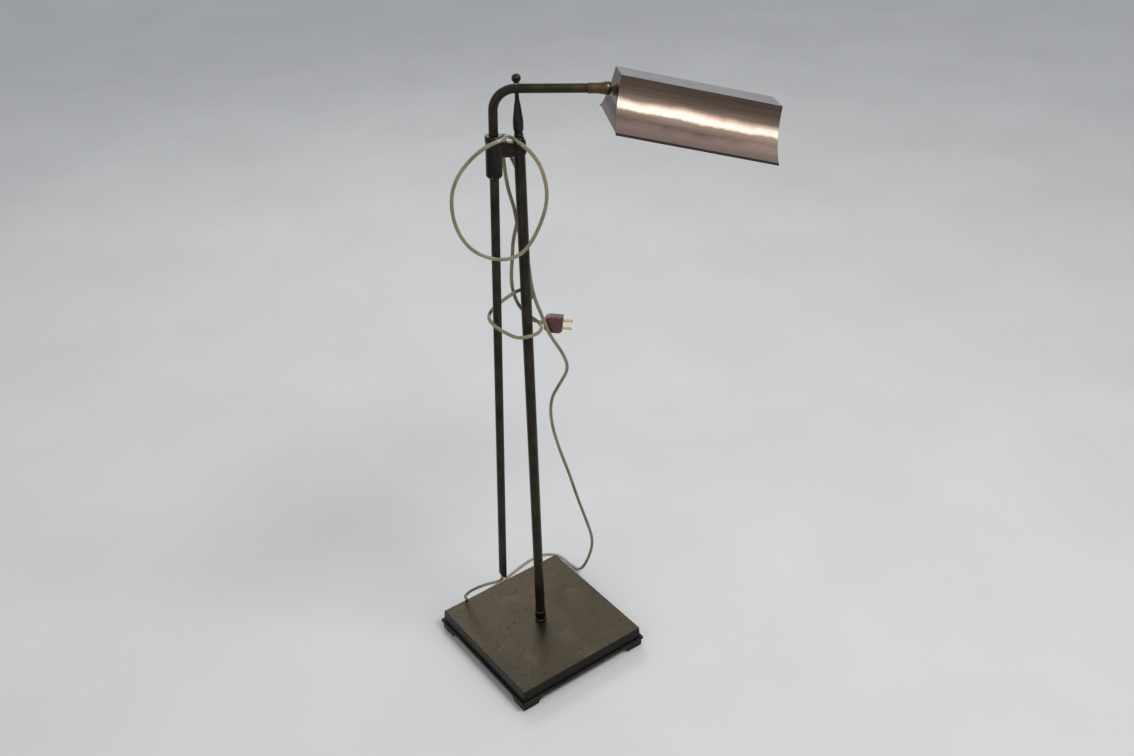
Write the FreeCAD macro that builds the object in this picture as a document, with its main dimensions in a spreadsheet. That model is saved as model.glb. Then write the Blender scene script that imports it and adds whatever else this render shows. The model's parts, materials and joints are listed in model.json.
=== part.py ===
import FreeCAD, Part
import math
import os

import Sketcher

# Adjustable bridge floor lamp, in millimetres.
#
# A square stepped base on bracket feet carries a fixed upright post.  A cast bracket on top of the
# post holds a sleeve beside it.  A thinner tube slides and swings in the sleeve, bends over at the
# top into an arm, and carries a long folded metal shade on a ball swivel.
#
# The row frame has its origin on the floor under the middle of the base, +Z up, and the sides of the
# base along X and Y.  The tube leans a little, so its pieces are drawn in a frame of their own (Z up
# the tube, X along the arm) and placed by tube_frame.  The shade's pieces are drawn round the centre
# of the ball (X along the shade, Z to its flat top) and placed by shade_frame.

Vector = FreeCAD.Vector
doc = FreeCAD.newDocument("bridge_floor_lamp")

# ---------------------------------------------------------------------------------------------
# Driving dimensions
# ---------------------------------------------------------------------------------------------

SIZES = {
    # base
    "base_height": 40.0,        # floor to the top plate
    "cap_top_half": 121.4,      # half side of the top plate
    "cap_foot_half": 123.0,     # half side of the cap where it meets the ledge
    "cap_height": 20.0,
    "cap_wall": 2.0,
    "cap_roof": 2.5,
    "plan_corner": 3.0,         # corner radius seen from above
    "ledge_half": 127.3,
    "ledge_thick": 4.5,
    "foot_outer_half": 124.0,
    "foot_height": 14.0,
    "foot_width": 14.0,         # thickness of a bracket foot
    "foot_toe": 30.0,           # length of a foot at the floor
    "foot_shoulder": 37.0,      # length of a foot under the ledge
    "pad_diameter": 12.0,
    "pad_thick": 1.5,
    "weight_half": 118.0,
    "weight_thick": 12.0,
    "weight_bore": 14.0,
    # post
    "post_diameter": 15.875,
    "post_wall": 1.25,
    "post_top": 909.0,
    "rod_diameter": 9.5,
    "rod_hole": 10.2,
    "rod_bottom": 4.5,
    "rod_top": 929.0,
    "nut_flats": 16.0,
    "nut_height": 7.0,
    "base_washer_diameter": 30.0,
    "base_washer_thick": 2.0,
    "collar_diameter": 19.5,
    "collar_height": 23.0,
    "collar_floor": 2.5,
    "crown_diameter": 19.0,     # the bracket's collar round the top of the post
    "crown_bottom": 895.5,
    "crown_top": 914.5,
    "crown_round": 2.5,
    "finial_top": 1005.5,
    "finial_ball": 12.6,
    # sleeve and tube
    "bracket_reach": 41.5,      # post axis to sleeve axis
    "web_thick": 11.0,
    "web_low": 894.0,           # underside of the web at the post
    "web_rise": 4.5,            # how much higher its underside is at the sleeve
    "web_shoulder": 913.0,      # top of the web at the post
    "lug_top": 919.0,           # top of the web's round corner beside the sleeve
    "sleeve_centre": 900.0,
    "tube_lean": 1.95,
    "arm_turn": -34.0,          # where the arm points, from +X
    "sleeve_diameter": 22.6,
    "sleeve_bore": 18.6,
    "sleeve_down": 28.5,        # from the sleeve's centre to its lower end
    "sleeve_up": 23.0,
    "gland_diameter": 23.8,
    "gland_top": 31.0,
    "tube_diameter": 12.7,
    "tube_wall": 1.0,
    "tube_clear": 0.35,         # all round the tube where it passes a lip
    "running_fit": 0.05,
    "bend_radius": 30.0,
    "arm_height": 94.55,        # sleeve centre to arm axis, up the tube
    "tube_drop": 733.4,         # sleeve centre to the middle of the slanted lower end
    "tube_slant": 6.3,          # half the rise of the slanted end
    "ferrule_start": 124.2,     # along the arm from the tube's axis
    "ferrule_end": 153.9,
    "retainer_start": 149.2,
    "arm_end": 134.0,
    "ferrule_neck": 14.2,
    "ferrule_mouth": 17.5,
    "ball_centre": 148.9,
    "ball_diameter": 12.0,
    "ball_fit": 0.06,
    "liner_thick": 0.44,
    # shade
    "shade_pan": 2.1,           # how the ball is turned in the pose it rests in
    "shade_nod": 12.0,
    "shade_roll": -5.5,
    "shade_start": 9.8,         # ball centre to the outside of the near end plate
    "shade_length": 219.0,
    "shade_top": 25.1,          # ball centre to the flat top
    "shade_height": 64.7,
    "shade_top_half": 26.0,
    "shade_mouth_half": 76.2,
    "flare_radius": 88.0,
    "shade_sheet": 0.9,
    "rim_bead": 2.2,
    "stem_diameter": 9.6,
    "neck_diameter": 6.8,
    # lamp holder
    "holder_start": 15.0,
    "holder_diameter": 33.0,
    "holder_end": 72.0,
    "thread_bore": 26.4,        # inside of the screw shell, for an E26 lamp
    "knob_station": 37.0,
    "knob_diameter": 11.0,
    # cord
    "cord_width": 5.2,
}

sheet = doc.addObject("Spreadsheet::Sheet", "dims")
for row, (alias, size) in enumerate(SIZES.items(), start=1):
    sheet.set(f"A{row}", alias)
    sheet.set(f"B{row}", str(size))
    sheet.setAlias(f"B{row}", alias)
doc.recompute()


class Dim:
    """A size that carries its number and the sheet expression that gives it."""

    def __init__(self, number, text):
        self.number = number
        self.text = text

    def join(self, other, sign, number):
        return Dim(number, f"({self.text} {sign} {text_of(other)})")

    def __add__(self, other):
        return self.join(other, "+", self.number + number_of(other))

    def __sub__(self, other):
        return self.join(other, "-", self.number - number_of(other))

    def __mul__(self, other):
        return self.join(other, "*", self.number * number_of(other))

    def __truediv__(self, other):
        return self.join(other, "/", self.number / number_of(other))

    def __rsub__(self, other):
        return Dim(number_of(other), text_of(other)) - self

    def __neg__(self):
        return Dim(-self.number, f"(0 - {self.text})")


def number_of(value):
    return value.number if isinstance(value, Dim) else float(value)


def text_of(value):
    return value.text if isinstance(value, Dim) else repr(float(value))


def size(alias):
    return Dim(SIZES[alias], f"dims.{alias}")


def radius(alias):
    return size(alias) / 2


# ---------------------------------------------------------------------------------------------
# Helpers for sketches and features
# ---------------------------------------------------------------------------------------------

parts = {}      # node name -> the document object that holds its shape


def new_body(label, frame=None):
    body = doc.addObject("PartDesign::Body", label)
    body.Label = label
    if frame is not None:
        body.Placement = frame
    parts[label] = body
    return body


def origin_of(body, role):
    return [item for item in body.Origin.OriginFeatures if item.Role == role][0]


def new_sketch(body, plane, offset=None):
    sketch = body.newObject("Sketcher::SketchObject", f"{body.Label}_sketch")
    sketch.AttachmentSupport = [(origin_of(body, plane), "")]
    sketch.MapMode = "FlatFace"
    if offset is not None:
        sketch.AttachmentOffset = FreeCAD.Placement(Vector(0, 0, number_of(offset)), FreeCAD.Rotation())
        sketch.setExpression("AttachmentOffset.Base.z", text_of(offset))
    return sketch


def pin_point(sketch, edge, end, x, y, name):
    """Tie one end of an edge to its place, with the sheet behind each number."""
    for kind, axis, value in (("DistanceX", -2, x), ("DistanceY", -1, y)):
        if not isinstance(value, Dim) and abs(value) < 1e-9:
            sketch.addConstraint(Sketcher.Constraint("PointOnObject", edge, end, axis))
            continue
        index = sketch.addConstraint(Sketcher.Constraint(kind, -1, 1, edge, end, number_of(value)))
        sketch.renameConstraint(index, f"{name}_{kind[-1]}")
        if isinstance(value, Dim):
            sketch.setExpression(f"Constraints.{name}_{kind[-1]}", value.text)


def arc_centre(start, end, bend, side):
    """Centre of the short arc from start to end, and the unit vector from it to the arc's middle.
    Side +1 bulges to the left of the way, -1 to the right."""
    chord = end - start
    outward = Vector(-chord.y, chord.x, 0).normalize() * side
    reach = math.sqrt(bend ** 2 - (chord.Length / 2) ** 2)
    return (start + end) * 0.5 - outward * reach, outward


def arc_crest(start, end, bend, side):
    centre, outward = arc_centre(start, end, bend, side)
    return centre + outward * bend


def draw(sketch, steps, tag="", closed=True):
    """Draw an outline.  A step (x, y) is a straight side to that corner.  A step (x, y, bend, side)
    is an arc of radius bend to it, bulging left (+1) or right (-1) of the way there."""
    corners = [Vector(number_of(step[0]), number_of(step[1]), 0) for step in steps]
    first = sketch.GeometryCount
    count = len(steps)
    made = []
    for index, step in enumerate(steps):
        if index == 0 and not closed:
            continue
        start = corners[index - 1]
        end = corners[index]
        if len(step) == 2:
            sketch.addGeometry(Part.LineSegment(start, end), False)
            made.append((1, 2))
        else:
            crest = arc_crest(start, end, number_of(step[2]), step[3])
            forward = step[3] < 0       # sketches keep their arcs anticlockwise
            ends = (start, end) if forward else (end, start)
            edge = sketch.addGeometry(Part.Arc(ends[0], crest, ends[1]), False)
            made.append((1, 2) if forward else (2, 1))
            rule = sketch.addConstraint(Sketcher.Constraint("Radius", edge, number_of(step[2])))
            sketch.renameConstraint(rule, f"bend{tag}{index}")
            if isinstance(step[2], Dim):
                sketch.setExpression(f"Constraints.bend{tag}{index}", step[2].text)
    edges = len(made)
    for index in range(edges if closed else edges - 1):
        after = (index + 1) % edges
        rule = Sketcher.Constraint("Coincident", first + index, made[index][1], first + after, made[after][0])
        sketch.addConstraint(rule)
    for index in range(edges):
        place = steps[index] if closed else steps[index + 1]
        pin_point(sketch, first + index, made[index][1], place[0], place[1], f"corner{tag}{index}")
    if not closed:
        pin_point(sketch, first, made[0][0], steps[0][0], steps[0][1], f"start{tag}")
    return [f"Edge{first + index + 1}" for index in range(count if closed else count - 1)]


def draw_circle(sketch, x, y, around, tag=""):
    middle = Vector(number_of(x), number_of(y), 0)
    edge = sketch.addGeometry(Part.Circle(middle, Vector(0, 0, 1), number_of(around)), False)
    rule = sketch.addConstraint(Sketcher.Constraint("Radius", edge, number_of(around)))
    sketch.renameConstraint(rule, f"around{tag}")
    if isinstance(around, Dim):
        sketch.setExpression(f"Constraints.around{tag}", around.text)
    pin_point(sketch, edge, 3, x, y, f"middle{tag}")


def draw_square(sketch, half, tag="", corner=None):
    """A square round the origin, with round corners where a corner radius is given."""
    if corner is None:
        draw(sketch, [(-half, -half), (half, -half), (half, half), (-half, half)], tag)
        return
    flat = half - corner
    draw(sketch, [(-flat, -half), (flat, -half), (half, -flat, corner, -1), (half, flat),
                  (flat, half, corner, -1), (-flat, half), (-half, flat, corner, -1),
                  (-half, -flat), (-flat, -half, corner, -1)][1:], tag)


def pad(body, sketch, length, backwards=False, taper=None):
    feature = body.newObject("PartDesign::Pad", f"{body.Label}_pad")
    feature.Profile = sketch
    feature.Length = number_of(length)
    feature.setExpression("Length", text_of(length))
    feature.Reversed = backwards
    if taper is not None:
        feature.TaperAngle = number_of(taper)
        feature.setExpression("TaperAngle", text_of(taper))
    return finish(feature)


def pocket(body, sketch, length, backwards=False):
    """Cut, and make sure that the cut removed something."""
    before = body.Shape.Volume
    feature = body.newObject("PartDesign::Pocket", f"{body.Label}_pocket")
    feature.Profile = sketch
    feature.Length = number_of(length)
    feature.setExpression("Length", text_of(length))
    feature.Reversed = backwards
    finish(feature)
    assert feature.Shape.Volume < before - 1e-6, f"the pocket in {body.Label} cuts nothing"
    return feature


def turn(body, outline, plane="XZ_Plane", axis="V_Axis"):
    """Revolve an outline drawn as (radius, height) about the body's Z axis, or (along, radius)
    about its X axis where axis is H_Axis."""
    sketch = new_sketch(body, plane)
    draw(sketch, outline)
    feature = body.newObject("PartDesign::Revolution", f"{body.Label}_turn")
    feature.Profile = sketch
    feature.ReferenceAxis = (sketch, [axis])
    feature.Angle = 360
    return finish(feature)


def turn_about_x(body, outline):
    return turn(body, outline, "XZ_Plane", "H_Axis")


def finish(feature):
    doc.recompute()
    assert "Invalid" not in feature.State and not feature.Shape.isNull(), f"{feature.Name} failed"
    return feature


def edges_where(feature, test):
    """Names of the edges that pass a test on their middle point and direction."""
    names = []
    for index, edge in enumerate(feature.Shape.Edges, start=1):
        middle = edge.valueAt((edge.FirstParameter + edge.LastParameter) / 2)
        if test(edge, middle):
            names.append(f"Edge{index}")
    assert names, f"no edge of {feature.Name} passes the test"
    return names


def round_edges(body, feature, bend, test):
    blend = body.newObject("PartDesign::Fillet", f"{body.Label}_fillet")
    blend.Base = (feature, edges_where(feature, test))
    blend.Radius = bend
    return finish(blend)


def around_z(body, features, count):
    pattern = body.newObject("PartDesign::PolarPattern", f"{body.Label}_pattern")
    pattern.Originals = features
    pattern.Axis = (origin_of(body, "Z_Axis"), [""])
    pattern.Angle = 360
    pattern.Occurrences = count
    body.Tip = pattern
    return finish(pattern)


def plane_frame(origin, *turns):
    """A placement at origin, turned by each (axis, degrees) in the frame left by the one before."""
    rotation = FreeCAD.Rotation()
    for axis, degrees in turns:
        rotation = rotation.multiply(FreeCAD.Rotation(axis, degrees))
    return FreeCAD.Placement(origin, rotation)


X_AXIS = Vector(1, 0, 0)
Y_AXIS = Vector(0, 1, 0)
Z_AXIS = Vector(0, 0, 1)

tube_frame = plane_frame(
    Vector(-SIZES["bracket_reach"], 0, SIZES["sleeve_centre"]),
    (Z_AXIS, SIZES["arm_turn"]), (Y_AXIS, SIZES["tube_lean"]))
arm_frame = tube_frame.multiply(FreeCAD.Placement(Vector(0, 0, SIZES["arm_height"]), FreeCAD.Rotation()))
ball_frame = arm_frame.multiply(FreeCAD.Placement(Vector(SIZES["ball_centre"], 0, 0), FreeCAD.Rotation()))
panned_frame = ball_frame.multiply(plane_frame(Vector(0, 0, 0), (Z_AXIS, SIZES["shade_pan"])))
nodded_frame = panned_frame.multiply(plane_frame(Vector(0, 0, 0), (Y_AXIS, SIZES["shade_nod"])))
shade_frame = nodded_frame.multiply(plane_frame(Vector(0, 0, 0), (X_AXIS, SIZES["shade_roll"])))


# ---------------------------------------------------------------------------------------------
# Base
# ---------------------------------------------------------------------------------------------

ledge_top = size("base_height") - size("cap_height")
ledge_bottom = ledge_top - size("ledge_thick")
foot_bottom = ledge_bottom - size("foot_height")


def make_base_cap():
    """Spun steel cap: sloping sides, a softly rounded top edge, open below."""
    body = new_body("base_cap")
    slope = math.degrees(math.atan2(SIZES["cap_foot_half"] - SIZES["cap_top_half"], SIZES["cap_height"]))
    block = new_sketch(body, "XY_Plane", ledge_top)
    draw_square(block, size("cap_foot_half"), corner=size("plan_corner"))
    solid = pad(body, block, size("cap_height"), taper=-slope)
    top = SIZES["base_height"]
    round_edges(body, solid, 1.6, lambda edge, middle: middle.z > top - 0.01)
    inside = new_sketch(body, "XY_Plane", ledge_top)
    draw_square(inside, size("cap_top_half") - size("cap_wall"), "in")
    pocket(body, inside, size("cap_height") - size("cap_roof"), backwards=True)
    hole = new_sketch(body, "XY_Plane", ledge_top)
    draw_circle(hole, 0, 0, radius("rod_hole"), "rod")
    pocket(body, hole, size("cap_height"), backwards=True)


def make_base_plate():
    """Moulded ledge plate that closes the cap from below."""
    body = new_body("base_plate")
    outline = new_sketch(body, "XY_Plane", ledge_bottom)
    draw_square(outline, size("ledge_half"), corner=size("plan_corner") + 1)
    draw_circle(outline, 0, 0, radius("rod_hole"), "rod")
    plate = pad(body, outline, size("ledge_thick"))
    top = SIZES["base_height"] - SIZES["cap_height"]
    half = SIZES["ledge_half"] - 5
    lip = lambda edge, middle: middle.z > top - 0.01 and max(abs(middle.x), abs(middle.y)) > half
    rounded = round_edges(body, plate, 2.2, lip)
    low = top - SIZES["ledge_thick"]
    sole = lambda edge, middle: middle.z < low + 0.01 and max(abs(middle.x), abs(middle.y)) > half
    round_edges(body, rounded, 1.2, sole)


def make_base_weight():
    """Cast-iron slab hidden in the cap."""
    body = new_body("base_weight")
    outline = new_sketch(body, "XY_Plane", ledge_top)
    draw_square(outline, size("weight_half"))
    draw_circle(outline, 0, 0, radius("weight_bore"), "bore")
    pad(body, outline, size("weight_thick"))


def make_bracket_feet():
    """Four cast bracket feet, each an L in plan whose arms end in an ogee."""
    body = new_body("bracket_feet")
    out = size("foot_outer_half")
    inner = out - size("foot_width")
    reach = out - size("foot_shoulder")
    plan = new_sketch(body, "XY_Plane", foot_bottom)
    draw(plan, [(reach, inner), (inner, inner), (inner, reach), (out, reach), (out, out), (reach, out)])
    foot = pad(body, plan, size("foot_height"))
    # the ogee: each arm is cut back from its shoulder under the ledge to its toe at the floor
    toe = out - size("foot_toe")
    step = size("foot_height") / 2
    middle_height = foot_bottom + step
    half_way = (toe + reach) / 2
    outline = [(reach - 2, foot_bottom - 1), (toe, foot_bottom - 1), (toe, foot_bottom),
               (half_way, middle_height, 9.5, -1), (reach, ledge_bottom - 2, 9.5, 1),
               (reach - 2, ledge_bottom - 2)]
    cut_x = new_sketch(body, "XZ_Plane", -out - 1)
    draw(cut_x, outline, "x")
    pocket(body, cut_x, size("foot_width") + 2, backwards=True)
    cut_y = new_sketch(body, "YZ_Plane", out + 1)
    draw(cut_y, outline, "y")
    pocket(body, cut_y, size("foot_width") + 2)
    features = [item for item in body.Group if item.TypeId in ("PartDesign::Pad", "PartDesign::Pocket")]
    around_z(body, features, 4)


def make_felt_pads():
    """A round felt pad under the corner of each foot."""
    body = new_body("felt_pads")
    spot = size("foot_outer_half") - size("foot_width") / 2
    disc = new_sketch(body, "XY_Plane")
    draw_circle(disc, spot, spot, radius("pad_diameter"))
    feature = pad(body, disc, size("pad_thick"))
    around_z(body, [feature], 4)


def make_foot_screws():
    """Countersunk screws that hold the feet up to the ledge plate, two to a foot."""
    body = new_body("foot_screws")
    line = size("foot_outer_half") - size("foot_width") / 2
    near = size("foot_outer_half") - 23
    for tag, x, y in (("a", near, line), ("b", line, near)):
        shank = new_sketch(body, "XY_Plane", foot_bottom + 2)
        draw_circle(shank, x, y, 2.0, tag)
        pad(body, shank, size("foot_height") + size("ledge_thick") - 4)
        head = new_sketch(body, "XY_Plane", foot_bottom + 0.2)
        draw_circle(head, x, y, 3.6, f"{tag}head")
        pad(body, head, 2.0)
    features = [item for item in body.Group if item.TypeId == "PartDesign::Pad"]
    around_z(body, features, 4)


def drill_feet():
    """Holes for the foot screws in the feet and the ledge plate."""
    line = size("foot_outer_half") - size("foot_width") / 2
    near = size("foot_outer_half") - 23
    for label, start, depth in (("bracket_feet", foot_bottom, size("foot_height")),
                                ("base_plate", ledge_bottom, size("ledge_thick") - 2)):
        body = parts[label]
        holes = new_sketch(body, "XY_Plane", start)
        spots = [(near, line), (line, near), (-near, line), (-line, near),
                 (near, -line), (line, -near), (-near, -line), (-line, -near)]
        for number, (x, y) in enumerate(spots):
            draw_circle(holes, x, y, 2.0, f"hole{number}")
        pocket(body, holes, depth, backwards=True)
        if label == "bracket_feet":
            seats = new_sketch(body, "XY_Plane", start)
            for number, (x, y) in enumerate(spots):
                draw_circle(seats, x, y, 3.6, f"seat{number}")
            pocket(body, seats, Dim(2.2, "2.2"), backwards=True)


def make_base_fastening():
    """Washer and nut that draw the tie rod down under the base."""
    washer = new_body("base_washer")
    ring = new_sketch(washer, "XY_Plane", ledge_bottom - size("base_washer_thick"))
    draw_circle(ring, 0, 0, radius("base_washer_diameter"))
    draw_circle(ring, 0, 0, radius("rod_hole"), "hole")
    pad(washer, ring, size("base_washer_thick"))
    nut = new_body("base_nut")
    start = ledge_bottom - size("base_washer_thick") - size("nut_height")
    hexagon = new_sketch(nut, "XY_Plane", start)
    flat = radius("nut_flats")
    corner = flat / math.cos(math.radians(30))
    draw(hexagon, [(corner, 0), (corner / 2, flat), (-corner / 2, flat), (-corner, 0),
                   (-corner / 2, -flat), (corner / 2, -flat)])
    draw_circle(hexagon, 0, 0, radius("rod_diameter"), "thread")
    pad(nut, hexagon, size("nut_height"))


# ---------------------------------------------------------------------------------------------
# Post, bracket and finial
# ---------------------------------------------------------------------------------------------

def make_tie_rod():
    body = new_body("tie_rod")
    bottom = size("rod_bottom")
    top = size("rod_top")
    rod = radius("rod_diameter")
    turn(body, [(0, bottom), (rod - 1, bottom), (rod, bottom + 1), (rod, top - 1), (rod - 1, top), (0, top)])


def make_post_foot_collar():
    """Turned collar with a groove round its waist; the post stands in its counterbore."""
    body = new_body("post_foot_collar")
    low = size("base_height")
    wide = radius("collar_diameter")
    upper = wide - 0.4
    groove = wide - 1.5
    top = low + size("collar_height")
    floor = low + size("collar_floor")
    bore = radius("post_diameter")
    hole = radius("rod_hole")
    turn(body, [(hole, low), (wide - 0.5, low), (wide, low + 0.5), (wide, low + 3.8),
                (groove, low + 5.2), (groove, low + 8.2), (upper, low + 9.4), (upper, top - 1.2),
                (upper - 1.0, top), (bore, top), (bore, floor), (hole, floor)])


def make_post_tube():
    body = new_body("post_tube")
    outer = radius("post_diameter")
    inner = outer - size("post_wall")
    low = size("base_height") + size("collar_floor")
    turn(body, [(inner, low), (outer, low), (outer, size("post_top")), (inner, size("post_top"))])


def make_post_bracket():
    """Cast bracket: a crown that sits over the post, and a web out to the sleeve that ends in a
    round-cornered lug."""
    body = new_body("post_bracket")
    crown = radius("crown_diameter")
    low = size("crown_bottom")
    top = size("crown_top")
    lip = crown + 0.3
    bore = radius("post_diameter")
    hole = radius("rod_hole")
    seat = size("post_top")
    curve = size("crown_round")
    turn(body, [(bore, low), (lip, low), (lip, low + 4), (crown, low + 4.6), (crown, top - curve),
                (crown - curve, top, curve, -1), (hole, top), (hole, seat), (bore, seat)])
    reach = size("bracket_reach")
    under = size("web_low")
    shoulder = size("web_shoulder")
    lug = size("lug_top")
    sunk = bore + 0.3           # the web starts inside the crown's wall
    face = -reach + 9           # and ends inside the sleeve's saddle
    side = new_sketch(body, "XZ_Plane", -size("web_thick") / 2)
    draw(side, [(-sunk, under), (-sunk, shoulder), (-reach + 25.5, shoulder + 2), (-reach + 19.5, lug - 1.7),
                (face + 3.2, lug - 2.4, 4, -1), (face, lug - 5), (face, under + size("web_rise")),
                (-reach / 2, under + size("web_rise") / 2)])
    web = pad(body, side, size("web_thick"))
    # a saddle to fit the sleeve, on the sleeve's own leaning axis
    before = web.Shape.Volume
    saddle = body.newObject("PartDesign::SubtractiveCylinder", "sleeve_saddle")
    saddle.Radius = number_of(radius("sleeve_diameter"))
    saddle.setExpression("Radius", radius("sleeve_diameter").text)
    saddle.Height = 80
    saddle.Placement = tube_frame.multiply(FreeCAD.Placement(Vector(0, 0, -40), FreeCAD.Rotation()))
    finish(saddle)
    assert saddle.Shape.Volume < before - 1, "the saddle cuts nothing"


def make_finial():
    """Turned finial: two beads, long vase, thin neck, collar and ball."""
    body = new_body("finial")
    low = size("crown_top")
    foot = radius("crown_diameter") - size("crown_round")
    rod = radius("rod_diameter")
    ball = radius("finial_ball")
    centre = size("finial_top") - ball
    depth = size("rod_top") + 1
    under = math.sqrt(ball.number ** 2 - 5.6 ** 2)      # the ball's radius where it leaves the collar
    turn(body, [
        (0, depth), (rod, depth), (rod, low), (foot, low), (foot, low + 3.2, 2.2, -1), (5.9, low + 5.4),
        (5.9, low + 8.8, 2.4, -1), (5.7, low + 10.4), (6.9, low + 15), (6.15, low + 35, 79, -1),
        (4.4, low + 49), (2.8, low + 64, 60, 1), (2.7, centre - 9.2), (4.2, centre - 8.4),
        (4.2, centre - 6.8), (under, centre - 5.6), (ball, centre, ball, -1), (0, centre + ball, ball, -1)])


# ---------------------------------------------------------------------------------------------
# Sleeve, bush, tube and ferrule (tube frame)
# ---------------------------------------------------------------------------------------------

def make_sleeve():
    """Long sleeve with a bevelled lower end and an inner lip that keeps the bush in."""
    body = new_body("sleeve", tube_frame)
    outer = radius("sleeve_diameter")
    bore = radius("sleeve_bore")
    lip = radius("tube_diameter") + size("tube_clear")
    low = -size("sleeve_down")
    turn(body, [(lip, low), (outer - 2.2, low), (outer, low + 3), (outer, size("sleeve_up")),
                (bore, size("sleeve_up")), (bore, low + 3), (lip, low + 3)])


def make_sleeve_gland():
    """Gland ring screwed on the top of the sleeve; its lip presses on the bush."""
    body = new_body("sleeve_gland", tube_frame)
    outer = radius("gland_diameter")
    bore = radius("sleeve_bore")
    lip = radius("tube_diameter") + size("tube_clear")
    low = size("sleeve_up")
    top = size("gland_top")
    turn(body, [(bore, low), (outer - 0.6, low), (outer, low + 0.8), (outer, top - 1.2),
                (outer - 1.2, top), (lip, top), (lip, top - 3), (bore, top - 3)])


def make_friction_bush():
    """Fibre bush that grips the tube; it turns in the sleeve, and the tube slides through it."""
    body = new_body("friction_bush", tube_frame)
    fit = size("running_fit")
    outer = radius("sleeve_bore") - fit
    inner = radius("tube_diameter") + fit
    low = -size("sleeve_down") + 3.3
    high = size("gland_top") - 3.3
    turn(body, [(inner, low), (outer, low), (outer, high), (inner, high)])


def tube_path(body, start, end_along, height):
    """Straight up the tube, round the bend, and out along the arm."""
    path = new_sketch(body, "XZ_Plane")
    bend = size("bend_radius")
    edges = draw(path, [(0, start), (0, height - bend), (bend, height, bend, 1), (end_along, height)],
                 "path", closed=False)
    return path, edges


def make_arm_tube():
    """One tube: slanted lower end, long straight shaft, quarter bend and arm."""
    body = new_body("arm_tube", tube_frame)
    start = -size("tube_drop") - size("tube_slant") - 2
    path, edges = tube_path(body, start, size("arm_end"), size("arm_height"))
    ring = new_sketch(body, "XY_Plane", start)
    draw_circle(ring, 0, 0, radius("tube_diameter"), "outer")
    draw_circle(ring, 0, 0, radius("tube_diameter") - size("tube_wall"), "inner")
    pipe = body.newObject("PartDesign::AdditivePipe", "arm_tube_pipe")
    pipe.Profile = ring
    pipe.Spine = (path, edges)
    finish(pipe)
    # the lower end is sawn off at a slant, longer on the side under the arm
    side = radius("tube_diameter") + 2
    rise = size("tube_slant") * (1 + 4 / SIZES["tube_diameter"])
    low = -size("tube_drop")
    wedge = new_sketch(body, "XZ_Plane", -side)
    draw(wedge, [(-side, low + rise), (-side, start - 2), (side, start - 2), (side, low - rise)], "saw")
    pocket(body, wedge, side * 2, backwards=True)


def make_ferrule():
    """Flared end of the arm: a ring, then a long bell that holds the ball's cup and springs."""
    body = new_body("ferrule", arm_frame)
    start = size("ferrule_start")
    end = size("retainer_start")
    neck = radius("ferrule_neck")
    mouth = radius("ferrule_mouth")
    seat = radius("tube_diameter")
    stop = size("arm_end")
    wire_way = seat - size("tube_wall")
    cup_bore = radius("ball_diameter") + 0.8
    turn_about_x(body, [
        (start, seat), (start, neck + 0.5), (start + 1.6, neck + 0.5), (start + 2.2, neck),
        (start + 8, neck + 0.1), (end - 4, mouth - 0.25, 60, -1), (end - 3, mouth), (end, mouth), (end, cup_bore),
        (stop + 1, cup_bore), (stop + 1, wire_way), (stop, wire_way), (stop, seat)])


def make_ball_retainer():
    """Screwed ring on the ferrule's mouth; its inner face is part of a sphere round the ball."""
    body = new_body("ball_retainer", arm_frame)
    start = size("retainer_start")
    end = size("ferrule_end")
    centre = size("ball_centre")
    ball = radius("ball_diameter") + size("ball_fit")
    back = math.sqrt(ball.number ** 2 - (start.number - centre.number) ** 2)
    lip_along = centre + 2.5
    lip = math.sqrt(ball.number ** 2 - 2.5 ** 2)
    mouth = radius("ferrule_mouth")
    turn_about_x(body, [
        (start, mouth), (start + 3, mouth - 0.4), (end, mouth - 1.5),
        (end, ball + 0.6), (lip_along, lip), (start, back, ball, -1)])


def make_disc_springs():
    """Two dished spring washers that push the cup towards the ball."""
    body = new_body("disc_springs", arm_frame)
    start = SIZES["arm_end"] + 1
    thick = 0.8
    dish = 0.9
    outer = radius("ball_diameter") + 0.4
    inner = 3.2
    for number in range(2):
        low = start + number * (dish + 1.0)
        sketch = new_sketch(body, "XZ_Plane")
        draw(sketch, [(low, outer), (low + dish, inner), (low + dish + thick, inner), (low + thick, outer)],
             f"ring{number}")
        feature = body.newObject("PartDesign::Revolution", f"disc_spring_{number}")
        feature.Profile = sketch
        feature.ReferenceAxis = (sketch, ["H_Axis"])
        feature.Angle = 360
        finish(feature)


def make_ball_cup():
    """Cup behind the ball, with a spherical seat for the two liners."""
    body = new_body("ball_cup", arm_frame)
    centre = SIZES["ball_centre"]
    seat = SIZES["ball_diameter"] / 2 + 3 * SIZES["ball_fit"] + 2 * SIZES["liner_thick"]
    back = SIZES["arm_end"] + 4.65
    outer = radius("ball_diameter") + 0.75
    way = 2.6
    rim = 6.1
    back_rim = centre - math.sqrt(seat ** 2 - way ** 2)
    front = centre - math.sqrt(seat ** 2 - rim ** 2)
    turn_about_x(body, [(back, way), (back, outer), (front, outer), (front, rim),
                        (back_rim, way, seat, -1)])


def make_liner(label, frame, inner, hole, rim):
    """Thin friction liner, a ring cut from a hollow sphere round the ball."""
    body = new_body(label, frame)
    outer = inner + SIZES["liner_thick"]
    hole = math.radians(hole)
    rim = math.radians(rim)
    at = lambda bend, angle: (-bend * math.cos(angle), bend * math.sin(angle))
    turn_about_x(body, [at(inner, rim) + (inner, 1), at(outer, rim), at(outer, hole) + (outer, -1),
                        at(inner, hole)])


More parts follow.
